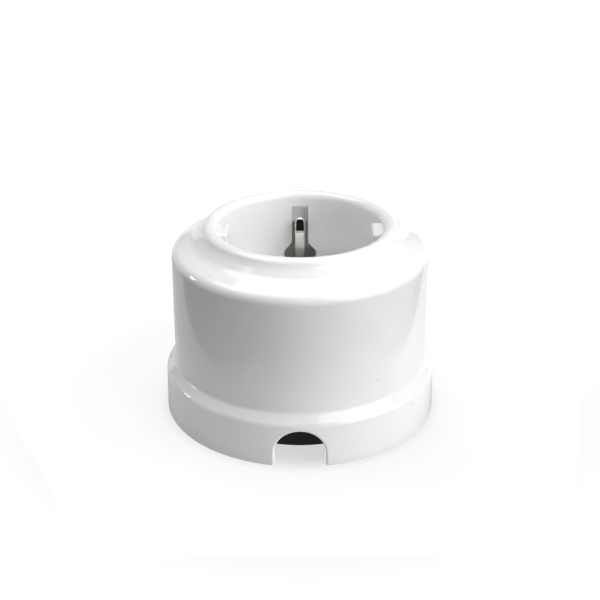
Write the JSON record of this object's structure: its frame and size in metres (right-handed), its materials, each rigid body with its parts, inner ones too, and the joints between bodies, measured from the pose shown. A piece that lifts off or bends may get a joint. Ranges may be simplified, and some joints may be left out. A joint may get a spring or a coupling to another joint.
{
  "type": "surface mounted wall socket",
  "caption": "Round surface mounted wall socket: porcelain cover with flange, rolled rim, plug well with side earth clips and cable notch, over a moulded base with its contacts.",
  "frame": {"origin": "middle of the back of the cover, on the wall plane", "axes": "+Z out of the wall along the socket's axis, -Y towards the cable notch, the two pin holes side by side along X"},
  "size_m": [0.066, 0.0658, 0.047],
  "materials": {
    "porcelain": "glossy white glaze",
    "black_phenolic": "moulded black phenolic",
    "plated_strip": "nickel plated strip",
    "contact_brass": "stamped brass",
    "spring_steel": "blued spring steel",
    "plated_steel": "zinc plated steel"
  },
  "bodies": {
    "root": {"cover": "porcelain", "base": "black_phenolic", "earth_bracket": "plated_strip", "line_contact": "contact_brass", "neutral_contact": "contact_brass", "line_contact_ring": "spring_steel", "neutral_contact_ring": "spring_steel", "line_contact_screw": "plated_steel", "neutral_contact_screw": "plated_steel", "line_terminal_nut": "contact_brass", "neutral_terminal_nut": "contact_brass", "earth_terminal_nut": "contact_brass", "line_clamp_plate": "plated_steel", "neutral_clamp_plate": "plated_steel", "earth_clamp_plate": "plated_steel", "line_terminal_screw": "plated_steel", "neutral_terminal_screw": "plated_steel", "earth_terminal_screw": "plated_steel", "earth_bracket_lower_screw": "plated_steel", "earth_bracket_upper_screw": "plated_steel", "cover_screw_insert": "contact_brass", "cover_screw": "plated_steel"}
  },
  "joints": []
}
